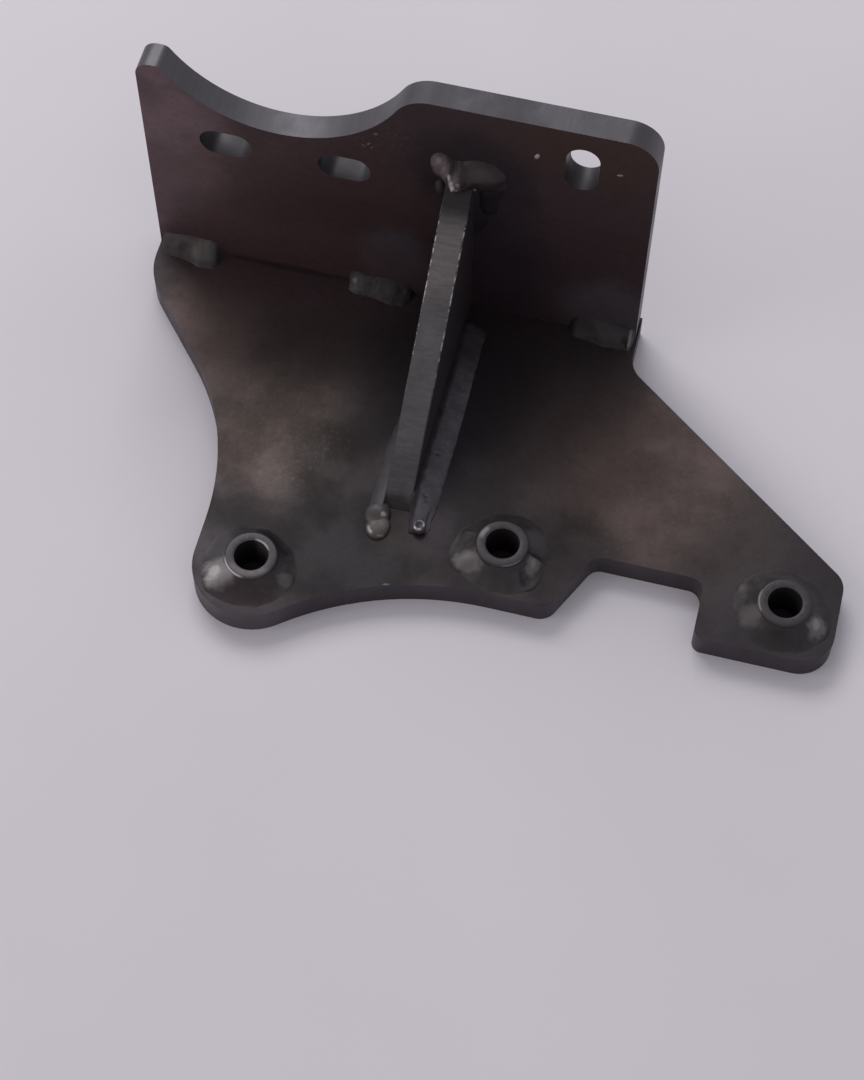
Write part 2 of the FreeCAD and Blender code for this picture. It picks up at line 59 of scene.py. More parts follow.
class NodeTree:
    def __init__(self, name):
        self.material = bpy.data.materials.new(name)
        self.material.use_nodes = True
        self.tree = self.material.node_tree
        self.tree.nodes.clear()
        self.place = self.add("TexCoord").outputs["Object"]
        self.normal = self.add("SeparateXYZ", {0: self.add("NewGeometry").outputs["Normal"]}).outputs
        self.made = {}

    def add(self, kind, inputs=None, **settings):
        node = self.tree.nodes.new("ShaderNode" + kind)
        for key, value in settings.items():
            setattr(node, key, value)
        for key, value in (inputs or {}).items():
            if isinstance(value, bpy.types.NodeSocket):
                self.tree.links.new(value, node.inputs[key])
            else:
                node.inputs[key].default_value = value
        return node

    def math(self, what, first, second=0.0):
        return self.add("Math", {0: first, 1: second}, operation=what).outputs[0]

    def vector(self, what, first, second=(0, 0, 0)):
        return self.add("VectorMath", {0: first, 1: second}, operation=what).outputs[0]

    def grain(self, size, detail=3.0, rough=0.55, seed=0.0):
        # noise whose cells have a size in mm, given once or per axis; the same one is made only once
        key = (size, detail, rough, seed)
        if key not in self.made:
            sides = size if isinstance(size, tuple) else (size, size, size)
            scaled = self.vector("MULTIPLY", self.place, [1 / (side * mm) for side in sides])
            moved = self.vector("ADD", scaled, (seed, seed * 1.7, seed * 0.6))
            node = self.add("TexNoise", {"Vector": moved, "Scale": 1.0, "Detail": detail, "Roughness": rough})
            self.made[key] = node.outputs["Fac"]
        return self.made[key]

    def levels(self, value, low, high, start=0.0, end=1.0):
        inputs = {"Value": value, "From Min": low, "From Max": high, "To Min": start, "To Max": end}
        return self.add("MapRange", inputs, interpolation_type="SMOOTHSTEP").outputs["Result"]

    def spot(self, centre, reach, soft=0.6, ragged=0.0, grainSize=4.0):
        # 1 inside an ellipsoid and 0 outside it, with an edge as soft as asked
        moved = self.vector("SUBTRACT", self.place, [c * mm for c in centre])
        shaped = self.vector("MULTIPLY", moved, [1 / (r * mm) for r in reach])
        far = self.add("VectorMath", {0: shaped}, operation="LENGTH").outputs["Value"]
        if ragged:
            wobble = self.math("MULTIPLY", self.math("SUBTRACT", self.grain(grainSize), 0.5), ragged * 2)
            far = self.math("ADD", far, wobble)
        return self.levels(far, 1 + soft / 2, 1 - soft / 2)

    def arc(self, centre, radius, width, toward, span):
        # 1 on a thin arc round an upright axis; its middle and its length are in degrees
        moved = self.vector("SUBTRACT", self.place, (centre[0] * mm, centre[1] * mm, 0))
        flat = self.vector("MULTIPLY", moved, (1, 1, 0))
        far = self.add("VectorMath", {0: flat}, operation="LENGTH").outputs["Value"]
        onRing = self.levels(self.math("ABSOLUTE", self.math("SUBTRACT", far, radius * mm)), width * mm, 0)
        turn = (cos(radians(toward)), sin(radians(toward)), 0)
        towards = self.add("VectorMath", {0: self.vector("NORMALIZE", flat), 1: turn}, operation="DOT_PRODUCT")
        fade = 10  # degrees over which each end fades away
        outer, inner = cos(radians(span / 2 + fade)), cos(radians(max(1, span / 2 - fade)))
        near = self.levels(towards.outputs["Value"], outer, inner)
        return self.math("MULTIPLY", onRing, near)

    def mix(self, amount, first, second, blend="MIX"):
        node = self.add("Mix", data_type="RGBA", blend_type=blend)
        for index, value in ((0, amount), (6, first), (7, second)):
            if isinstance(value, bpy.types.NodeSocket):
                self.tree.links.new(value, node.inputs[index])
            else:
                node.inputs[index].default_value = value
        return node.outputs[2]

    def tinted(self, colour, amount):
        # a colour made lighter or darker by a number that varies over the surface
        return self.mix(1.0, colour, self.add("CombineColor", {0: amount, 1: amount, 2: amount}).outputs[0], "MULTIPLY")

    def patched(self, colour, patches, soft=0.9, ragged=0.25, grainSize=6.0):
        for centre, reach, over, amount in patches:
            area = self.spot(centre, reach, soft, ragged, grainSize)
            colour = self.mix(self.math("MULTIPLY", area, amount), colour, over)
        return colour

    def bump(self, height, strength, depth, under=None):
        inputs = {"Height": height, "Strength": strength, "Distance": depth * mm}
        if under is not None:
            inputs["Normal"] = under
        return self.add("Bump", inputs).outputs["Normal"]

    def finish(self, colour, rough, metal, normal=None, specular=0.5):
        inputs = {"Base Color": colour, "Roughness": rough, "Metallic": metal, "Specular IOR Level": specular}
        if normal is not None:
            inputs["Normal"] = normal
        shader = self.add("BsdfPrincipled", inputs)
        self.add("OutputMaterial", {"Surface": shader.outputs[0]})
        return self.material


def tone(red, green, blue):
    # a colour as read off a screen, 0 to 255
    def linear(value):
        value /= 255
        return value / 12.92 if value <= 0.04045 else ((value + 0.055) / 1.055) ** 2.4
    return (linear(red), linear(green), linear(blue), 1.0)


# patches are (centre, reach, colour, amount), in mm, on the face of the plate
basePlate = {
    "scale": tone(50, 44, 47),
    "patches": [
        ((-58, 28, 6), (24, 30, 20), tone(72, 60, 59), 0.75),
        ((-77, 40, 6), (13, 19, 20), tone(96, 80, 78), 0.75),
        ((24, 28, 6), (26, 28, 20), tone(80, 67, 65), 0.75),
        # these two lighter beige patches are partly heat tint and partly painted light where light falls on the plate
        ((-53, 17, 6), (13, 15, 20), tone(84, 72, 67), 0.75),
        ((27, 24, 6), (16, 19, 20), tone(98, 83, 79), 0.75),
        ((-22, 28, 6), (18, 38, 20), tone(46, 41, 45), 0.65),
        ((-40, 11, 6), (9, 11, 20), tone(40, 33, 33), 0.8),
        ((-33, -9, 6), (15, 13, 20), tone(28, 24, 27), 0.85),
        ((13, 4, 6), (12, 9, 20), tone(34, 28, 30), 0.75),
        ((46, 11, 6), (12, 12, 20), tone(62, 53, 52), 0.55),
        ((-60, -16, 6), (10, 12, 20), tone(60, 55, 58), 0.75),
        ((-57, -5, 6), (8, 6, 20), tone(40, 36, 38), 0.6),
        ((60, -2, 6), (14, 12, 20), tone(60, 56, 60), 0.7),
        ((-30, 60, 6), (60, 9, 20), tone(56, 44, 48), 0.6),
        ((-22, 0, 6), (6, 5, 20), tone(46, 36, 36), 0.75),
        ((-62, 55, 6), (24, 7, 20), tone(78, 61, 63), 0.7),
        ((6, 53, 6), (16, 7, 20), tone(58, 51, 54), 0.5),
        ((-62, 59.6, 6), (14, 0.9, 20), tone(30, 24, 26), 0.5),
    ],
    # pale specks over the same two beige patches, part of that heat tint and painted light
    "paleSpecks": tone(112, 98, 92),
    "speckled": [((-53, 17, 6), (13, 15, 20)), ((27, 24, 6), (16, 19, 20))],
    "cloudy": (0.88, 1.04),
    "rim": tone(68, 62, 67),
    "rimPatches": [((-56, -27, 3), (16, 9, 9), tone(92, 85, 91), 0.9)],
    "line": (1.2, 1.2, 12),
    "arris": 0.3,
}
uprightPlate = {
    "scale": tone(68, 53, 55),
    "patches": [
        ((-56, 59, 30), (26, 20, 26), tone(73, 53, 51), 0.7),
        # lighter pink towards the left end: partly the plate's own tint, partly painted light from the window side
        ((-90, 59, 46), (15, 20, 26), tone(98, 79, 81), 0.75),
        ((-39, 59, 17.5), (7.5, 20, 10), tone(86, 81, 88), 0.8),
        ((-22, 59, 52), (13, 20, 12), tone(38, 32, 36), 0.75),
        ((-14, 59, 24), (8, 20, 26), tone(52, 44, 54), 0.7),
        ((4, 59, 66), (16, 20, 10), tone(76, 58, 48), 0.5),
        ((10, 59, 14), (11, 20, 10), tone(92, 87, 92), 0.7),
        ((-62, 59, 12), (34, 20, 12), tone(90, 68, 70), 0.6),
        ((-62, 59, 6.4), (14, 20, 0.7), tone(42, 33, 35), 0.6),
    ],
    "paleSpecks": tone(112, 92, 88),
    "speckled": [((-42, 59, 57), (9, 20, 8))],
    "cloudy": (1.04, 1.22),
    "rim": tone(89, 87, 92),
    "rimPatches": [
        # the first five are painted shade: the walls of the two slots and of the stud slot darkened, the slots' left
        # ends most
        ((-74.9, 62, 45.3), (5.6, 9, 8), tone(50, 47, 50), 0.85),
        ((-49.1, 62, 45.3), (5.6, 9, 8), tone(50, 47, 50), 0.85),
        ((-80, 62, 45), (2.6, 9, 5), tone(30, 27, 30), 0.65),
        ((-54.2, 62, 45), (2.6, 9, 5), tone(30, 27, 30), 0.65),
        ((1, 62, 60), (6, 9, 8), tone(50, 47, 50), 0.85),
        ((-12, 62, 71), (24, 9, 5), tone(66, 64, 69), 0.85),
        ((17, 62, 52), (5, 9, 22), tone(108, 104, 109), 0.85),
    ],
    "line": (1.2, 12, 1.2),
    "arris": 0.3,
}


# what both plates share: sizes of grain, then shades that they vary between
millScale = {
    "cloud": 13,
    "fleck": 1.6,
    "speck": 1.1,
    "pit": 0.35,
    "flecked": (1.03, 0.9),
    "speckStrength": 0.4,
    "sawn": (0.94, 1.05),
    "rough": (0.58, 0.42),
    "metal": 0.55,
}


def plateSteel(name, look, axis):
    # mill scale with clouds and flecks on the two faces, and a plain sawn rim
    shade = NodeTree(name)
    clouds = shade.levels(shade.grain(millScale["cloud"], detail=4, seed=3), 0.3, 0.72)
    flecks = shade.levels(shade.grain(millScale["fleck"], detail=5, rough=0.7, seed=8), 0.42, 0.68)
    colour = shade.patched(look["scale"], look["patches"])
    colour = shade.tinted(colour, shade.levels(clouds, 0, 1, *look["cloudy"]))
    colour = shade.tinted(colour, shade.levels(flecks, 0, 1, *millScale["flecked"]))
    for centre, reach in look["speckled"]:
        specks = shade.levels(shade.grain(millScale["speck"], detail=5, rough=0.75, seed=21), 0.5, 0.72)
        amount = shade.math("MULTIPLY", shade.spot(centre, reach, 1.1, 0.3), specks)
        colour = shade.mix(shade.math("MULTIPLY", amount, millScale["speckStrength"]), colour, look["paleSpecks"])
    lines = shade.grain(look["line"], detail=4, rough=0.6, seed=5)
    rim = shade.patched(look["rim"], look["rimPatches"], 0.5, 0.1, 2.0)
    rim = shade.tinted(rim, shade.levels(lines, 0.3, 0.7, *millScale["sawn"]))
    onFace = shade.levels(shade.math("ABSOLUTE", shade.normal[axis]), 0.35, 0.75)
    colour = shade.mix(onFace, rim, colour)
    rough = shade.levels(clouds, 0, 1, *millScale["rough"])
    normal = shade.bump(shade.grain(millScale["pit"], detail=3, seed=2), 0.25, 0.05)
    normal = shade.bump(flecks, 0.2, 0.04, normal)
    return shade.finish(colour, rough, millScale["metal"], normal)


gusset = {
    "strip": tone(96, 92, 94),
    # darker sides: partly mill scale, partly painted shade
    "sides": tone(66, 60, 66),
    "patches": [
        # darker just under the top weld: partly heat tint, partly painted shade under the overhanging drop
        ((-24, 57, 49.2), (8, 9, 5.6), tone(38, 33, 35), 0.9),
        ((-24, 46, 40), (8, 8, 7), tone(122, 116, 113), 0.6),
        ((-24, 22, 20), (8, 7, 6), tone(93, 91, 94), 0.7),
        ((-24, 9, 9), (9, 8, 8), tone(81, 78, 80), 0.85),
        # darker at the toe: partly its reddish tone, partly painted shadow
        ((-24, 4.0, 6.6), (5, 3.4, 3.0), tone(46, 38, 39), 0.9),
    ],
    "scrape": (3.2, 0.8, 0.8),
    "scraped": (0.84, 1.16),
    "cloud": (5, 9, 9),
    "cloudy": (0.92, 1.06),
    "rough": 0.46,
    "metal": 0.55,
    # the arris: its width and colours, the size of its chips, and the heights where they begin and end
    "arris": 0.32,
    "plain": tone(78, 75, 77),
    "rubbed": tone(186, 178, 174),
    "heated": tone(40, 35, 37),
    "chip": 1.5,
    "chipsBegin": (18, 34),
    "chipsEnd": (48, 43),
    "heatBegins": (42, 48),
}


def gussetSteel():
    # the cut face is scraped across; the sides are darker, partly their own scale and partly painted shade
    shade = NodeTree("gussetSteel")
    scrapes = shade.grain(gusset["scrape"], detail=5, rough=0.7, seed=4)
    clouds = shade.grain(gusset["cloud"], detail=2, seed=2)
    colour = shade.patched(gusset["strip"], gusset["patches"], 0.9, 0.3, 1.5)
    colour = shade.tinted(colour, shade.levels(scrapes, 0.28, 0.72, *gusset["scraped"]))
    colour = shade.tinted(colour, shade.levels(clouds, 0.3, 0.7, *gusset["cloudy"]))
    aside = shade.levels(shade.math("ABSOLUTE", shade.normal["X"]), 0.5, 0.9)
    colour = shade.mix(aside, colour, gusset["sides"])
    return shade.finish(colour, gusset["rough"], gusset["metal"], shade.bump(scrapes, 0.25, 0.06))


def rubbedArris():
    # rubbed bright in chips, more of them towards the top
    shade = NodeTree("rubbedArris")
    chips = shade.levels(shade.grain(gusset["chip"], detail=5, rough=0.75, seed=16), 0.47, 0.6)
    high = shade.add("SeparateXYZ", {0: shade.place}).outputs["Z"]
    begun, ended, heated = (
        shade.levels(high, first * mm, last * mm)
        for first, last in (gusset["chipsBegin"], gusset["chipsEnd"], gusset["heatBegins"])
    )
    chips = shade.math("MULTIPLY", chips, shade.math("MULTIPLY", begun, ended))
    colour = shade.mix(chips, gusset["plain"], gusset["rubbed"])
    colour = shade.mix(heated, colour, gusset["heated"])
    return shade.finish(colour, shade.levels(chips, 0, 1, 0.5, 0.34), 0.6, shade.bump(chips, 0.3, 0.06))


# arcs are painted highlights on the ring's rims, as (radius, width, middle, span, amount): mm and degrees from the
# right
bushes = {
    "left": {
        "centre": (-49.8, -15.5),
        "arcs": [(5.45, 0.3, 232, 60, 0.85), (3.75, 0.35, 62, 50, 0.5), (4.7, 1.3, 275, 110, 0.09)],
    },
    "middle": {"centre": (0, 0), "arcs": [(4.6, 0.8, 158, 26, 0.22), (5.4, 0.2, 305, 40, 0.2)]},
    "right": {"centre": (59.3, 0.65), "arcs": [(5.45, 0.35, 188, 46, 0.4)]},
}
turned = {
    "ring": (tone(58, 53, 57), tone(68, 63, 67)),
    "grain": 0.9,
    "boreWallShade": tone(40, 31, 37),
    "boreReach": (3.55, 3.55, 400),
    "foot": tone(34, 30, 33),
    "footEnds": (9.2, 8.4),
    "glint": tone(214, 208, 208),
    "rough": (0.44, 0.85),
    "metal": 0.45,
    "arris": 0.18,
}


def turnedSteel(name, row):
    # grey ring, a bore painted dark as painted shade, and painted highlights in thin arcs on the ring's rims
    shade = NodeTree(name)
    rings = shade.grain(turned["grain"], detail=4, seed=12)
    colour = shade.mix(rings, *turned["ring"])
    x, y = row["centre"]
    # the bore's wall is painted dark: painted shade inside the hole
    inside = shade.spot((x, y, 4), turned["boreReach"], 0.03)
    colour = shade.mix(inside, colour, turned["boreWallShade"])
    high = shade.add("SeparateXYZ", {0: shade.place}).outputs["Z"]
    low = shade.levels(high, *[z * mm for z in turned["footEnds"]])
    colour = shade.mix(shade.math("MULTIPLY", low, 0.5), colour, turned["foot"])
    # painted highlights: thin bright arcs on the rims
    bright = 0.0
    for *place, amount in row["arcs"]:
        bright = shade.math("MAXIMUM", bright, shade.math("MULTIPLY", shade.arc((x, y), *place), amount))
    colour = shade.mix(bright, colour, turned["glint"])
    rough = shade.levels(inside, 0, 1, *turned["rough"])
    return shade.finish(colour, rough, turned["metal"], shade.bump(rings, 0.12, 0.04))


softening = {"merge": 0.002, "segments": 2, "angle": 35}


def dress(node, material, width, arris=None):
    # a CAD solid keeps its mesh; a modifier softens its arrises
    part = cad[node]
    part.data.materials.clear()
    part.data.materials.append(material)
    if arris:
        part.data.materials.append(arris)
    for face in part.data.polygons:
        face.material_index = 0
    weld = part.modifiers.new("weld", "WELD")
    weld.merge_threshold = softening["merge"] * mm
    bevel = part.modifiers.new("arris", "BEVEL")
    bevel.width = width * mm
    bevel.segments = softening["segments"]
    bevel.limit_method = "ANGLE"
    bevel.angle_limit = radians(softening["angle"])
    bevel.material = 1 if arris else -1
    even = part.modifiers.new("even", "WEIGHTED_NORMAL")
    even.keep_sharp = False


dress("base_plate", plateSteel("basePlateSteel", basePlate, "Z"), basePlate["arris"])
dress("upright_plate", plateSteel("uprightSteel", uprightPlate, "Y"), uprightPlate["arris"])
dress("gusset_plate", gussetSteel(), gusset["arris"], rubbedArris())
for side, row in bushes.items():
    dress("bush_" + side, turnedSteel("turnedSteel_" + side, row), turned["arris"])
print("plates and bushes dressed")

weldLook = {
    "dull": tone(50, 45, 47),
    "pale": tone(60, 55, 57),
    "dark": tone(36, 31, 33),
    # the colour of the painted highlights: glints and arcs
    "bright": tone(206, 200, 200),
    "cloud": 3.0,
    "scale": 0.9,
    "scaled": 0.35,
    "broken": 0.7,
    "pit": 0.5,
    "metal": 0.5,
    "rough": (0.52, 0.28),
}


def weldSteel(name, row, grainSize=1.2, soft=0.9, ragged=0.35):
    # dull weld metal with patches of other colours, some of them painted light and painted shade, and painted
    # highlights (glints and arcs) that are smoother
    shade = NodeTree(name)
    dull, pale = row.get("dull", weldLook["dull"]), row.get("pale", weldLook["pale"])
    colour = shade.mix(shade.levels(shade.grain(weldLook["cloud"], detail=4, seed=6), 0.32, 0.7), dull, pale)
    scale = shade.levels(shade.grain(weldLook["scale"], detail=4, rough=0.7, seed=14), 0.52, 0.7)
    colour = shade.mix(shade.math("MULTIPLY", scale, weldLook["scaled"]), colour, weldLook["dark"])
    colour = shade.patched(colour, row.get("patches", ()), soft, ragged, grainSize)
    bright = 0.0
    for centre, reach, amount in row.get("glints", ()):
        glint = shade.spot(centre, reach, 0.9, 0.6, 0.9)
        bright = shade.math("MAXIMUM", bright, shade.math("MULTIPLY", glint, amount))
    for *place, amount in row.get("arcs", ()):
        broken = shade.levels(shade.grain(weldLook["broken"], detail=3, seed=30), 0.3, 0.5)
        ring = shade.math("MULTIPLY", shade.arc(*place), broken)
        bright = shade.math("MAXIMUM", bright, shade.math("MULTIPLY", ring, amount))
    colour = shade.mix(bright, colour, weldLook["bright"])
    if "toe" in row:
        # the skirt's outer edge takes the colour of the plate under it
        centre, radius, under = row["toe"]
        within = shade.spot((*centre, baseTop), (radius, radius, 400), 0.22, 0.22, 3.0)
        colour = shade.mix(within, under, colour)
    rough = shade.levels(bright, 0, 1, *weldLook["rough"])
    normal = shade.bump(shade.grain(weldLook["pit"], detail=4, rough=0.6, seed=9), 0.22, 0.06)
    return shade.finish(colour, rough, weldLook["metal"], normal)


def between(stops, place):
    # values given at a few places, eased from one to the next
    if not isinstance(stops, list):
        return stops
    for (before, first), (after, second) in zip(stops, stops[1:]):
        if place <= after:
            part = max(0.0, (place - before) / (after - before))
            return first + (second - first) * (1 - cos(pi * part)) / 2
    return stops[-1][1]


def lumpAt(place, row):
    seed = row["seed"]
    first = place / row["lumpSize"] + Vector((seed, seed * 2.3, seed * 0.7))
    return (noise.noise(first) + 0.45 * noise.noise(first * 2.7)) * row["lumps"]


# a bead's mesh: points over its face, mm between them along it, and how far it is sunk in the steel
beadMesh = {"across": 24, "step": 0.2, "sunk": 0.3}


def layBead(points, faces, row, at, length, closed=False):
    # a weld bead swept along a corner: at(s) gives the corner and the directions of its two legs
    across, sunk = beadMesh["across"], beadMesh["sunk"]
    count = max(10, int(length / beadMesh["step"]))
    stations = count if closed else count + 1
    first = len(points)
    bend = 2 / row.get("belly", 1.0)  # a belly of 2 is round, 1 is flat, less is hollow
    for i in range(stations):
        s = length * i / count
        corner, side, up = at(s)
        swell = 1.0
        for gap, ease in ((s, row.get("startEase", 0)), (length - s, row.get("endEase", 0))):
            if gap < ease:
                swell *= sqrt(max(0.0004, 1 - (1 - gap / ease) ** 2))
        wander = row.get("wander", 0.08)
        drift = 0.35 * noise.noise(Vector((s / 3.1, row["seed"], 0)))
        paces = ((2.3, 4), (2.9, 9))  # how slowly each leg wanders, and where the noise is read
        wobbles = [1 + wander * noise.noise(Vector((s / pace, row["seed"], layer))) for pace, layer in paces]
        leg, height = (between(row[name], s) * swell * wobble for name, wobble in zip(("leg", "height"), wobbles))
        points.append(corner + side * leg - up * sunk)
        for j in range(across + 1):
            v = j / across
            c, r = cos(v * pi / 2), sin(v * pi / 2)
            place = corner + side * leg * max(c, 0) ** bend + up * height * r ** bend
            out = (side * c + up * r).normalized()
            wave = s / row["pitch"] + row.get("bow", 0.8) * (2 * v - 1) ** 2 + drift
            push = row["ripple"] * (abs(sin(pi * wave)) ** 0.7 - 0.6) + lumpAt(place, row)
            for where, level, long, wide, high in row.get("bumps", ()):
                gap = s - where
                if closed:
                    gap = (gap + length / 2) % length - length / 2
                away = (gap / long) ** 2 + ((v - level) / wide) ** 2
                if away < 9:
                    push += high * exp(-away)
            points.append(place + out * push * min(1.0, swell) * sin(pi * min(1, 0.12 + v * 0.88)) ** 0.5)
        points.append(corner + up * height - side * sunk)
        points.append(corner - side * sunk - up * sunk)
    loop = across + 4
    for i in range(stations if closed else stations - 1):
        a, b = first + i * loop, first + ((i + 1) % stations) * loop
        for j in range(loop):
            k = (j + 1) % loop
            faces.append((a + j, a + k, b + k, b + j))
    if not closed:
        faces.append(tuple(range(first + loop - 1, first - 1, -1)))
        last = first + (stations - 1) * loop
        faces.append(tuple(range(last, last + loop)))


def layDollop(points, faces, centre, out, wide, high, row, crater=0.0, long=None):
    # a frozen drop: a dome on a surface, with a dimple where the arc went out
    rings, spokes = 14, 28
    out = Vector(out).normalized()
    side = out.orthogonal().normalized()
    if long is not None:
        side = Vector(long[0]).normalized()
        side = (side - out * side.dot(out)).normalized()
    other = out.cross(side)
    stretch = long[1] if long else 1.0
    centre = Vector(centre)
    first = len(points)
    for i in range(rings + 1):
        t = i / rings
        reach = wide * sin(t * pi / 2)
        rise = high * cos(t * pi / 2) ** 0.9 - crater * exp(-((t / 0.42) ** 2))
        for j in range(spokes):
            turn = 2 * pi * j / spokes
            place = centre + (side * cos(turn) * stretch + other * sin(turn)) * reach + out * rise
            points.append(place + out * lumpAt(place, row) * (1 - t * 0.5))
    for j in range(spokes):
        turn = 2 * pi * j / spokes
        points.append(centre + (side * cos(turn) * stretch + other * sin(turn)) * wide - out * 0.4)
    for i in range(rings + 1):
        a, b = first + i * spokes, first + (i + 1) * spokes
        for j in range(spokes):
            k = (j + 1) % spokes
            faces.append((a + j, b + j, b + k, a + k))
    base = first + (rings + 1) * spokes
    faces.append(tuple(base + j for j in reversed(range(spokes))))
    faces.append(tuple(first + j for j in range(spokes)))


def layPuddle(points, faces, row):
    # metal puddled on the upright's face: lobes that run together, then grooves and ridges
    left, right, bottom, top = row["box"]
    columns, rows = int((right - left) / row["step"]), int((top - bottom) / row["step"])
    first = len(points)

    def away(x, z, place):
        lean = radians(place[4])
        dx, dz = x - place[0], z - place[1]
        along, aside = dz * cos(lean) - dx * sin(lean), dx * cos(lean) + dz * sin(lean)
        return (aside / place[2]) ** 2 + (along / place[3]) ** 2

    for i in range(rows + 1):
        z = bottom + (top - bottom) * i / rows
        for j in range(columns + 1):
            x = left + (right - left) * j / columns
            total = 0.0
            for place in row["lobes"]:
                gap = away(x, z, place)
                if gap < 1:
                    total += (place[5] * (1 - gap) ** place[6]) ** 2.5
            rise = total ** 0.4
            if rise:
                fade = min(1.0, rise / 1.2)
                rise += sum(place[5] * exp(-away(x, z, place)) for place in row["grooves"]) * fade
                rise += lumpAt(Vector((x, 0, z)), row) * fade
            points.append(Vector((x, uprightFace - max(rise, -0.2) + (0.0 if total else 0.25), z)))
    for i in range(rows):
        for j in range(columns):
            a = first + i * (columns + 1) + j
            faces.append((a, a + 1, a + columns + 2, a + columns + 1))
    across, upward = columns + 1, rows + 1
    ring = [j for j in range(columns)] + [i * across + columns for i in range(rows)]
    ring += [rows * across + j for j in range(columns, 0, -1)] + [i * across for i in range(upward - 1, 0, -1)]
    behind = len(points)
    for index in ring:
        point = points[first + index]
        points.append(Vector((point.x, uprightFace + 0.7, point.z)))
    for j, index in enumerate(ring):
        k = (j + 1) % len(ring)
        faces.append((first + index, behind + j, behind + k, first + ring[k]))
    faces.append(tuple(behind + j for j in range(len(ring))))


def straight(start, end, side, up):
    start, end, side, up = Vector(start), Vector(end), Vector(side), Vector(up)
    length = (end - start).length
    return (lambda s: (start + (end - start) * s / length, side, up)), length


def addWeld(name, points, faces, material, *nodes):
    mesh = bpy.data.meshes.new(name)
    mesh.from_pydata([point * mm for point in points], [], faces)
    mesh.update()
    for face in mesh.polygons:
        face.use_smooth = True
    piece = bpy.data.objects.new(name, mesh)
    bpy.context.scene.collection.objects.link(piece)
    piece.data.materials.append(material)
    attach(piece, "root")
    if nodes:
        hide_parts(*nodes)


# stitches along the joint: legs and heights are (along, size), bumps are (along, how far up,
# size along, size up, height), glints are (centre, reach, amount)
stitches = {
    "left": {
        "from": -92.4,
        "to": -77.2,
        "leg": [(0, 3.0), (5, 3.6), (10.5, 5.0), (13, 4.4), (15.2, 1.2)],
        "height": [(0, 3.4), (6, 4.4), (11, 4.2), (15.2, 1.4)],
        "pitch": 1.5,
        "ripple": 0.02,
        "seed": 3,
        "startEase": 0.5,
        "endEase": 2.6,
        "lumps": 0.16,
        "lumpSize": 3.0,
        "belly": 0.85,
        "wander": 0.1,
        "bumps": [(9.8, 0.45, 2.4, 0.4, 0.35), (5.4, 0.5, 0.9, 0.4, -0.25), (2.5, 0.75, 1.8, 0.2, 0.25)],
        "dull": tone(64, 58, 60),
        "pale": tone(74, 68, 70),
        "patches": [
            ((-84.5, 59, 10.4), (9, 3, 1.0), tone(58, 46, 48), 0.7),
            # the next two are painted light: a lit flat facet, then a highlight along the top band
            ((-82.5, 57, 8.4), (2.8, 4, 2.6), tone(88, 83, 81), 0.75),
            ((-89.0, 57, 9.6), (4.0, 4, 1.4), tone(82, 76, 78), 0.7),
            ((-84.5, 55.6, 6.2), (9, 1.4, 0.9), tone(50, 41, 43), 0.6),
            ((-86.6, 57, 7.6), (1.6, 3, 1.8), tone(38, 32, 34), 0.5),
            ((-78, 57, 8), (1.6, 4, 3), tone(38, 31, 33), 0.6),
        ],
    },
    "middle": {
        "from": -49.2,
        "to": -34.0,
        "leg": [(0, 2.2), (3, 3.4), (7, 3.5), (11, 4.4), (15.2, 4.2)],
        "height": [(0, 3.6), (2.4, 3.9), (4.4, 3.4), (8, 3.5), (15.2, 2.2)],
        "pitch": 1.5,
        "ripple": 0.02,
        "seed": 5,
        "startEase": 0.9,
        "endEase": 2.6,
        "lumps": 0.2,
        "lumpSize": 2.2,
        "belly": 0.88,
        "wander": 0.14,
        "bumps": [(4.4, 0.85, 0.7, 0.15, -0.3), (8.5, 0.35, 2.0, 0.3, 0.2)],
        "patches": [
            ((-41, 59, 9.5), (9, 2, 1.0), tone(50, 41, 43), 0.6),
            ((-46.6, 57, 8.4), (2.2, 3, 2.6), tone(76, 72, 71), 0.75),
            # darker towards the right end: painted shade
            ((-37, 57, 8), (3.5, 4, 4), tone(42, 37, 40), 0.5),
            ((-41, 55.6, 6.2), (9, 1.4, 0.9), tone(40, 34, 36), 0.6),
        ],
        "glints": [((-47.4, 57, 8.2), (0.6, 2, 0.7), 0.22)],
    },
    "right": {
        "from": 1.4,
        "to": 16.1,
        "leg": [(0, 2.5), (4, 2.9), (9, 3.7), (14.7, 3.5)],
        "height": [(0, 4.2), (5, 4.8), (14.7, 4.2)],
        "pitch": 1.5,
        "ripple": 0.02,
        "seed": 8,
        "startEase": 2.0,
        "endEase": 0.5,
        "lumps": 0.16,
        "lumpSize": 2.8,
        "belly": 0.85,
        "wander": 0.1,
        "bumps": [(13.7, 0.35, 0.5, 0.3, 0.4), (12.6, 0.3, 0.5, 0.2, -0.3), (7.0, 0.5, 3.0, 0.3, 0.25)],
        "patches": [
            ((8.5, 59, 10.6), (9, 2, 1.0), tone(58, 52, 55), 0.6),
            ((8.5, 57, 8.8), (5, 4, 2.5), tone(58, 54, 56), 0.5),
            ((13.9, 57, 7.4), (0.6, 3, 0.8), tone(30, 26, 28), 0.7),
            ((8.5, 56.2, 6.2), (9, 1.4, 0.9), tone(42, 37, 39), 0.6),
        ],
        "glints": [((15.2, 57, 8.2), (0.4, 3, 1.8), 0.24)],
    },
}
for side, row in stitches.items():
    points, faces = [], []
    ends = [(row[end], uprightFace, baseTop) for end in ("from", "to")]
    at, length = straight(*ends, (0, -1, 0), (0, 0, 1))
    layBead(points, faces, row, at, length)
    addWeld("joint_stitch_" + side, points, faces, weldSteel("stitchSteel_" + side, row, 2.0), "weld_joint_" + side)
print("joint stitches laid")
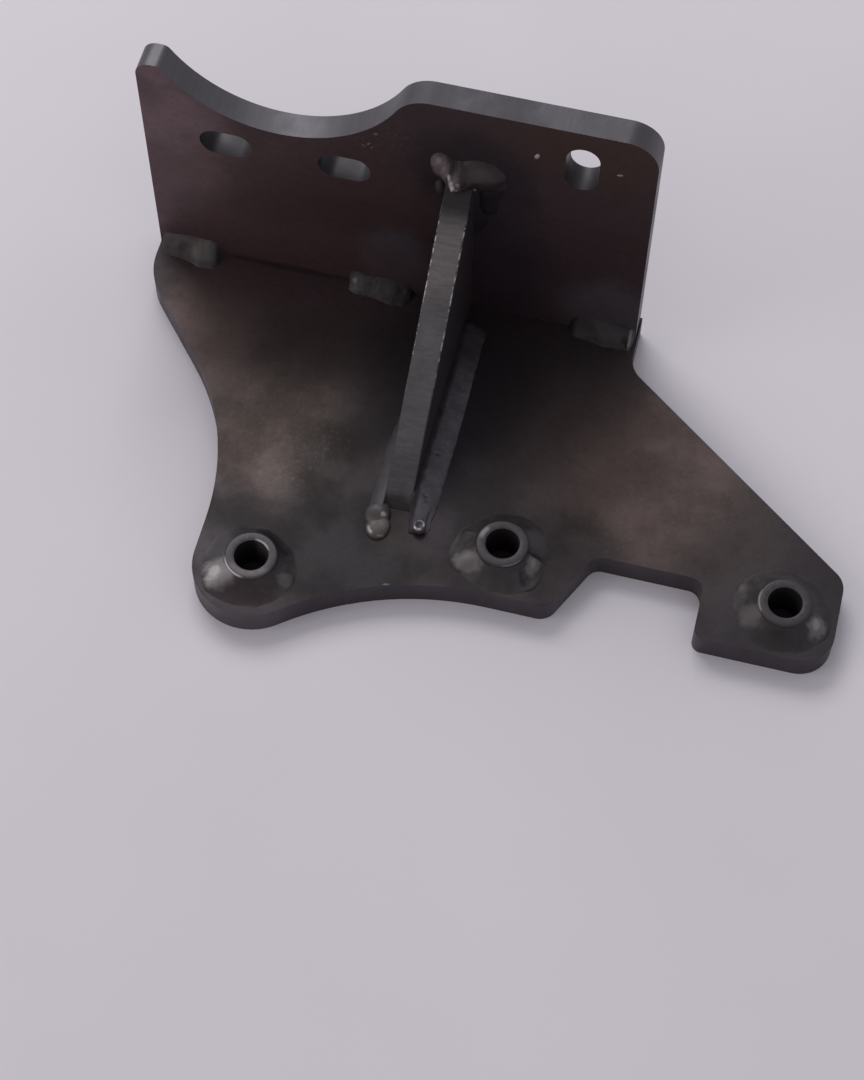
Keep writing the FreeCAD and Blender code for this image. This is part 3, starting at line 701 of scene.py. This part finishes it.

# beads along the gusset's foot, with drops and a crater at their front ends: arcs are painted highlights, as
# (centre, radius, width, middle, span, amount), dollops are (centre, width, height, crater, (direction, stretch))
footBeads = {
    "left": {
        "x": -27.0,
        "side": (-1, 0, 0),
        "from": 59.3,
        "to": 0.8,
        "leg": [(0, 1.8), (30, 2.0), (42, 2.9), (58.5, 2.7)],
        "height": [(0, 2.0), (40, 2.6), (50, 2.4), (58.5, 1.4)],
        "pitch": 1.1,
        "ripple": 0.01,
        "seed": 11,
        "startEase": 2.0,
        "endEase": 2.0,
        "lumps": 0.1,
        "lumpSize": 2.8,
        "belly": 1.25,
        "wander": 0.08,
        "dull": tone(64, 61, 64),
        "pale": tone(76, 73, 77),
        "patches": [
            ((-28.4, 9, 7), (3, 20, 4), tone(90, 87, 91), 0.8),
            ((-27.8, 1.5, 7), (0.7, 0.8, 2), tone(30, 25, 27), 0.8),
            ((-26.2, -1.0, 7), (3.2, 3.0, 3), tone(92, 86, 81), 0.8),
            ((-28.0, 1.6, 7.6), (1.4, 1.2, 2), tone(56, 48, 46), 0.7),
            ((-25.4, -0.2, 7.4), (1.0, 1.2, 2), tone(116, 110, 106), 0.6),
        ],
        "glints": [((-25.9, 1.7, 8), (0.6, 0.5, 1), 0.45), ((-26.8, -0.4, 8.3), (0.9, 1.1, 0.6), 0.14)],
        "arcs": [((-26.3, -0.8), 2.3, 0.5, 220, 44, 0.6), ((-26.3, -0.8), 2.4, 0.3, 290, 24, 0.25)],
        "dollops": [
            ((-26.6, -0.7, 6), 2.6, 1.6, 0.15, ((0.1, 1, 0), 1.2)),
            ((-27.4, 2.2, 6), 2.7, 1.9, 0, ((0.2, 1, 0), 1.2)),
        ],
    },
    "right": {
        "x": -21.0,
        "side": (1, 0, 0),
        "from": 54.8,
        "to": -0.4,
        "leg": [(0, 5.0), (30, 5.4), (47, 5.4), (55.2, 4.0)],
        "shift": [(0, 0.0), (48, 0.0), (55.2, 1.2)],
        "height": [(0, 2.4), (30, 2.6), (48, 2.6), (55, 1.6)],
        "pitch": 0.95,
        "ripple": 0.01,
        "bow": 1.4,
        "seed": 14,
        "startEase": 2.2,
        "endEase": 2.0,
        "lumps": 0.07,
        "lumpSize": 2.4,
        "belly": 1.4,
        "wander": 0.05,
        "bumps": [
            (46.5, 0.62, 0.45, 0.07, -0.5), (47.6, 0.52, 0.4, 0.06, -0.4), (51.2, 0.3, 2.2, 0.06, -0.4),
            (36, 0.6, 0.4, 0.07, -0.3),
        ],
        "dull": tone(80, 77, 82),
        "pale": tone(94, 92, 98),
        "patches": [
            # painted shade along the gusset's right face
            ((-20.9, 30, 8.6), (1.1, 40, 1.6), tone(30, 26, 29), 0.85),
            ((-18.3, 8, 8.6), (0.5, 0.6, 1), tone(30, 26, 29), 0.8),
            # painted shade along the gusset's right face at its low end
            ((-20.5, 4, 8.0), (0.9, 6, 1.8), tone(30, 26, 29), 0.8),
            ((-18, 50, 8), (5, 8, 4), tone(44, 40, 44), 0.7),
            ((-18.1, 1.0, 8), (0.7, 0.7, 2), tone(58, 54, 55), 0.8),
        ],
        "arcs": [((-18.1, 1.0), 1.05, 0.3, 50, 130, 0.75), ((-18.1, 1.0), 1.2, 0.35, 262, 80, 0.9)],
        "dollops": [((-18.1, 0.9, 6.8), 1.5, 1.9, 0.95, None)],
    },
}
for side, row in footBeads.items():
    points, faces = [], []
    ends = [(row["x"], row[end], baseTop) for end in ("from", "to")]
    alongFoot, length = straight(*ends, row["side"], (0, 0, 1))

    def at(s):
        corner, out, up = alongFoot(s)
        return corner + out * between(row.get("shift", 0.0), s), out, up
    layBead(points, faces, row, at, length)
    for centre, wide, high, crater, long in row["dollops"]:
        layDollop(points, faces, centre, (0, 0, 1), wide, high, row, crater, long)
    addWeld("foot_bead_" + side, points, faces, weldSteel("footBeadSteel_" + side, row), "weld_gusset_" + side)
print("foot beads laid")

# the puddle that wraps the gusset's top, and the low bead going down its right side
topWrap = {
    "box": (-31.2, -14.4, 40.0, 57.0),
    "step": 0.24,
    "seed": 19,
    "lumps": 0.18,
    "lumpSize": 2.0,
    # x, z, half width, half height, lean in degrees, height, edge (below 1 is steep)
    "lobes": [
        (-27.7, 52.0, 2.8, 4.7, 14, 1.0, 0.8),
        (-28.4, 45.3, 1.2, 2.6, 4, 0.6, 1.0),
        (-24.3, 51.0, 4.1, 4.3, 0, 3.8, 0.85),
        (-19.9, 52.2, 5.4, 4.2, 0, 2.2, 0.8),
        (-18.0, 50.0, 3.6, 6.2, 0, 1.3, 1.0),
        (-18.6, 45.0, 3.0, 7.0, 0, 0.9, 1.2),
    ],
    "grooves": [
        (-25.3, 55.0, 0.7, 1.8, 12, -1.0, 0),
        (-22.4, 52.0, 0.5, 2.2, -8, -0.5, 0),
        (-24.8, 50.9, 0.4, 2.6, -24, 0.45, 0),
        (-25.2, 50.6, 0.4, 2.2, 26, 0.4, 0),
        (-26.7, 51.2, 0.4, 1.6, -10, -0.4, 0),
    ],
    "dull": tone(46, 40, 43),
    "pale": tone(56, 49, 52),
    "patches": [
        ((-28.7, 57, 53.2), (2.0, 4, 3.2), tone(124, 112, 113), 0.8),
        ((-28.3, 57, 45.4), (1.1, 4, 1.8), tone(92, 74, 72), 0.7),
        ((-19.6, 57, 53.8), (3.0, 4, 1.7), tone(74, 65, 65), 0.65),
        ((-17.6, 57, 41), (5, 5, 9), tone(38, 32, 36), 0.85),
        # painted shade in the crease between the lobes
        ((-25.3, 57, 55.0), (0.9, 4, 1.5), tone(30, 25, 27), 0.75),
        ((-22, 56, 47), (1.5, 5, 2.5), tone(44, 38, 39), 0.6),
        # painted highlight: the pinkish X on the ridges
        ((-24.9, 55, 51.2), (1.5, 4, 2.3), tone(112, 94, 90), 0.7),
        # painted shade under the drop's lower edge
        ((-24, 55, 48.2), (4, 4, 1.1), tone(34, 29, 31), 0.8),
    ],
    "glints": [
        ((-26.0, 55, 52.6), (0.4, 4, 0.6), 0.45),
        ((-25.4, 55, 51.8), (0.4, 4, 0.6), 0.55),
        ((-24.8, 55, 51.0), (0.5, 4, 0.6), 0.65),
        ((-24.2, 55, 50.3), (0.4, 4, 0.6), 0.5),
        ((-23.9, 55, 51.9), (0.35, 4, 0.6), 0.4),
        ((-25.7, 55, 50.4), (0.4, 4, 0.5), 0.45),
        ((-20.9, 56, 48.4), (0.4, 4, 0.4), 0.6),
        ((-28.6, 57, 54.6), (0.7, 3, 0.8), 0.12),
    ],
}
descent = {
    "x": -21.0,
    "from": 31.8,
    "to": 50.0,
    "leg": [(0, 2.0), (6, 3.2), (20, 4.0)],
    "height": [(0, 1.2), (12, 1.5), (20, 1.2)],
    "pitch": 1.7,
    "ripple": 0.02,
    "seed": 19,
    "startEase": 6.0,
    "endEase": 0.5,
    "lumps": 0.08,
    "lumpSize": 3.0,
    "belly": 0.85,
}
points, faces = [], []
layPuddle(points, faces, topWrap)
ends = [(descent["x"], uprightFace, descent[end]) for end in ("from", "to")]
at, length = straight(*ends, (1, 0, 0), (0, -1, 0))
layBead(points, faces, descent, at, length)
addWeld("top_wrap", points, faces, weldSteel("topWrapSteel", topWrap, 0.9), "weld_top_left", "weld_top_right")
print("top wrap laid")

# skirts round the bushes: legs are (degrees, length), bumps are (degrees, how far up, size along,
# size up, height)
skirts = {
    "left": {
        "centre": (-49.8, -15.5),
        "seed": 31,
        "toe": tone(58, 53, 57),
        "toeRadius": 10.6,
        "leg": [
            (0, 4.2), (20, 3.4), (60, 2.9), (100, 3.2), (150, 4.2), (200, 5.0), (230, 5.6), (270, 5.0),
            (310, 4.6), (345, 4.4),
        ],
        "bumps": [
            (222, 0.4, 2.4, 0.4, 0.9), (345, 0.35, 1.2, 0.25, 0.6), (50, 0.6, 3.6, 0.4, -0.4),
            (275, 0.5, 4.0, 0.4, -0.3),
        ],
        "patches": [
            # lighter on the lit side: partly cleaner metal, partly painted light
            ((-56.0, -20.4, 8), (4.0, 3.4, 4), tone(146, 141, 142), 0.8),
            # painted shade on the skirt's front, with a reddish tone of its own
            ((-49.0, -24.0, 7), (6, 3.4, 3), tone(58, 43, 44), 0.7),
            # painted shadow cast by the bush on the skirt's far side
            ((-45.5, -9.6, 7), (5.5, 3.4, 3), tone(34, 30, 33), 0.8),
            ((-41.6, -18.4, 8), (1.8, 1.8, 3), tone(96, 92, 93), 0.7),
            ((-57.5, -13.6, 7), (2.8, 4.0, 3), tone(84, 80, 83), 0.7),
        ],
        "glints": [((-56.5, -20.2, 8), (1.3, 1.3, 2.5), 0.75), ((-57.4, -21.6, 7), (1.2, 0.6, 2), 0.4)],
    },
    "middle": {
        "centre": (0.0, 0.0),
        "seed": 37,
        "toe": tone(50, 45, 48),
        "toeRadius": 10.4,
        "leg": [
            (0, 4.8), (30, 4.7), (60, 4.2), (95, 3.6), (140, 3.5), (165, 4.4), (205, 5.7), (235, 4.4),
            (270, 4.5), (315, 5.2), (345, 4.5),
        ],
        "bumps": [
            (214, 0.35, 1.8, 0.3, 0.8), (30, 0.5, 3.6, 0.35, 0.6), (357, 0.5, 0.35, 0.5, -0.9),
            (343, 0.5, 1.0, 0.3, 0.7), (318, 0.4, 1.0, 0.2, -0.9), (320, 0.12, 1.8, 0.1, 0.6),
            (166, 0.4, 0.8, 0.2, 0.4), (270, 0.5, 3.5, 0.5, -0.2),
        ],
        "patches": [
            # lighter on the lit side: partly cleaner metal, partly painted light
            ((-6.8, -5.0, 8), (3.6, 2.4, 3), tone(112, 107, 108), 0.8),
            ((7.2, -2.6, 8), (1.5, 2.2, 3), tone(108, 103, 104), 0.75),
            ((-8.4, 2.6, 7), (1.3, 1.6, 2), tone(68, 60, 58), 0.6),
            ((7.2, 4.6, 8), (3, 3.5, 3), tone(78, 74, 77), 0.6),
            ((6.4, -6.2, 7), (1.2, 1.2, 2), tone(36, 32, 34), 0.8),
            # painted shade on the skirt's front
            ((0, -8.4, 7), (5, 2.2, 3), tone(50, 46, 46), 0.5),
        ],
        "glints": [((7.1, -2.2, 8), (0.5, 1.2, 2), 0.12)],
    },
    "right": {
        "centre": (59.3, 0.65),
        "seed": 41,
        "toe": tone(56, 52, 55),
        "toeRadius": 10.0,
        "leg": [(0, 4.6), (60, 3.9), (100, 3.7), (161, 4.8), (209, 4.6), (270, 4.4), (340, 4.9)],
        "bumps": [
            (340, 0.35, 1.6, 0.3, 0.7), (209, 0.4, 1.8, 0.35, 0.5), (161, 0.15, 0.9, 0.12, 0.55),
            (150, 0.5, 0.6, 0.2, 0.3), (275, 0.5, 3.5, 0.5, -0.25), (95, 0.4, 3.0, 0.3, 0.2),
        ],
        "patches": [
            ((66.8, -2.4, 8), (2.0, 2.6, 3), tone(114, 109, 110), 0.8),
            # lighter on the lit side: partly cleaner metal, partly painted light
            ((52.8, -3.2, 8), (2.3, 2.8, 3), tone(96, 91, 92), 0.7),
            # painted shade on the skirt's front
            ((58, -7.6, 7), (8, 2.4, 3), tone(42, 37, 39), 0.7),
            ((49.6, 3.4, 7), (0.9, 1.6, 2), tone(84, 76, 76), 0.6),
        ],
        "glints": [((66.4, -2.0, 8), (0.7, 1.3, 2), 0.2)],
    },
}
# what the skirts share: round is the radius along which their length is measured
skirtLook = {
    "inner": 5.55,
    "round": 8,
    "dull": tone(56, 52, 54),
    "pale": tone(68, 64, 66),
    "height": 3.0,
    "pitch": 1.7,
    "ripple": 0.0,
    "lumps": 0.14,
    "lumpSize": 3.0,
    "belly": 0.82,
    "wander": 0.06,
}
girth = 2 * pi * skirtLook["round"]
for side, row in skirts.items():
    row.update(skirtLook)
    row["bumps"] = [(degrees / 360 * girth, *rest) for degrees, *rest in row["bumps"]]
    stops = row["leg"] + [(360, row["leg"][0][1])]
    row["leg"] = [(degrees / 360 * girth, leg) for degrees, leg in stops]
    row["toe"] = (row["centre"], row["toeRadius"], row["toe"])
    centre = Vector((*row["centre"], baseTop))

    def at(s):
        turn = 2 * pi * s / girth
        out = Vector((cos(turn), sin(turn), 0))
        return centre + out * skirtLook["inner"], out, Vector((0, 0, 1))
    points, faces = [], []
    layBead(points, faces, row, at, girth, closed=True)
    steel = weldSteel("skirtSteel_" + side, row, 1.6, 0.6, 0.6)
    addWeld("bush_skirt_" + side, points, faces, steel, "weld_bush_" + side)
print("bush skirts laid")

# drops of spatter: place, facing, width, height, (direction, stretch)
spatter = {
    "seed": 51,
    "lumps": 0.08,
    "lumpSize": 0.8,
    "dull": tone(96, 74, 70),
    "pale": tone(108, 88, 82),
    "patches": [((-21.4, -13.6, 6), (4, 3, 2), tone(104, 100, 102), 0.9)],
    "glints": [((-8.5, 59, 61.5), (2, 3, 2), 0.5), ((8.6, 59, 60.7), (2, 3, 2), 0.3)],
    "drops": [
        ((-8.5, 59.5, 61.5), (0, -1, 0), 0.5, 0.35, ((0.4, 0, 1), 1.7)),
        ((8.6, 59.5, 60.7), (0, -1, 0), 0.3, 0.25, ((1, 0, 0.15), 2.2)),
        ((-42.0, 59.5, 58.4), (0, -1, 0), 0.4, 0.2, ((1, 0, 0.4), 1.5)),
        ((-43.6, 59.5, 54.8), (0, -1, 0), 0.35, 0.2, ((1, 0, 1), 1.8)),
        ((-44.6, 59.5, 54.0), (0, -1, 0), 0.3, 0.2, ((1, 0, -0.6), 1.6)),
        ((-42.9, 59.5, 53.9), (0, -1, 0), 0.28, 0.2, None),
        ((-21.4, -13.6, 6), (0, 0, 1), 0.28, 0.2, ((1, 0.25, 0), 3.0)),
    ],
}
points, faces = [], []
for place, out, wide, high, long in spatter["drops"]:
    layDollop(points, faces, place, out, wide, high, spatter, 0, long)
addWeld("spatter", points, faces, weldSteel("spatterSteel", spatter))
print("spatter scattered")

studio = {
    "world": 0.44,
    "sky": (0.96, 0.95, 1.0, 1.0),
    "key": 5.5,
    "fill": 1.2,
    "table": (tone(196, 189, 198), tone(202, 196, 204)),
    "tableSeen": (tone(218, 213, 220), tone(228, 223, 230)),
    "tableCloud": 90,
    "tableHalf": 3,
    "boreShade": tone(62, 51, 58),
    "boreReach": (4.6, 4.6, 4),
    "lens": 96.365,
    "sensor": 36,
    "viewFrom": (0.041141, -0.234692, 0.426425),
    "viewTurn": (0.519319, -0.005775, 0.245101),
}
half = studio["tableHalf"]
tableMesh = bpy.data.meshes.new("table")
tableMesh.from_pydata([(-half, -half, 0), (half, -half, 0), (half, half, 0), (-half, half, 0)], [], [(0, 1, 2, 3)])
table = bpy.data.objects.new("table", tableMesh)
bpy.context.scene.collection.objects.link(table)
tableShade = NodeTree("tableTop")
tableClouds = tableShade.grain(studio["tableCloud"], seed=7)
rays = tableShade.add("LightPath")
seen = rays.outputs["Is Camera Ray"]
for ray in ("Is Glossy Ray", "Is Transmission Ray"):
    seen = tableShade.math("MAXIMUM", seen, rays.outputs[ray])
unseenColour, seenColour = (tableShade.mix(tableClouds, *studio[name]) for name in ("table", "tableSeen"))
tableColour = tableShade.mix(seen, unseenColour, seenColour)
for row in bushes.values():
    # painted shade on the table under each bore, so the bores stay dark down to the table
    underBore = tableShade.spot((*row["centre"], 0), studio["boreReach"], 0.1)
    tableColour = tableShade.mix(underBore, tableColour, studio["boreShade"])
table.data.materials.append(tableShade.finish(tableColour, 0.8, 0.0, None, 0.2))
table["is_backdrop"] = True

world = bpy.data.worlds.new("studio")
bpy.context.scene.world = world
world.use_nodes = True
world.node_tree.nodes["Background"].inputs["Color"].default_value = studio["sky"]
world.node_tree.nodes["Background"].inputs["Strength"].default_value = studio["world"]


def addLamp(name, place, aim, size, power, colour=(1, 1, 1)):
    lamp = bpy.data.lights.new(name, "AREA")
    lamp.shape = "RECTANGLE"
    lamp.size, lamp.size_y = size
    lamp.energy = power
    lamp.color = colour
    holder = bpy.data.objects.new(name, lamp)
    holder.location = place
    holder.rotation_euler = (Vector(aim) - Vector(place)).to_track_quat("-Z", "Y").to_euler()
    bpy.context.scene.collection.objects.link(holder)


addLamp("behind", (-0.42, 0.7, 0.82), (-0.01, 0.02, 0.0), (0.75, 0.55), studio["key"])
addLamp("window", (-0.8, -0.35, 0.55), (-0.03, 0.03, 0.02), (0.5, 0.6), studio["fill"], (1.0, 0.96, 0.94))

camera = bpy.data.cameras.new("camera")
camera.sensor_fit = "HORIZONTAL"
camera.sensor_width = studio["sensor"]
camera.lens = studio["lens"]
camera.clip_start = 0.01
viewer = bpy.data.objects.new("camera", camera)
viewer.location = studio["viewFrom"]
viewer.rotation_euler = studio["viewTurn"]
bpy.context.scene.collection.objects.link(viewer)
bpy.context.scene.camera = viewer
bpy.context.scene.view_settings.view_transform = "Standard"
print("table, lamps and camera set")

low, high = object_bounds()
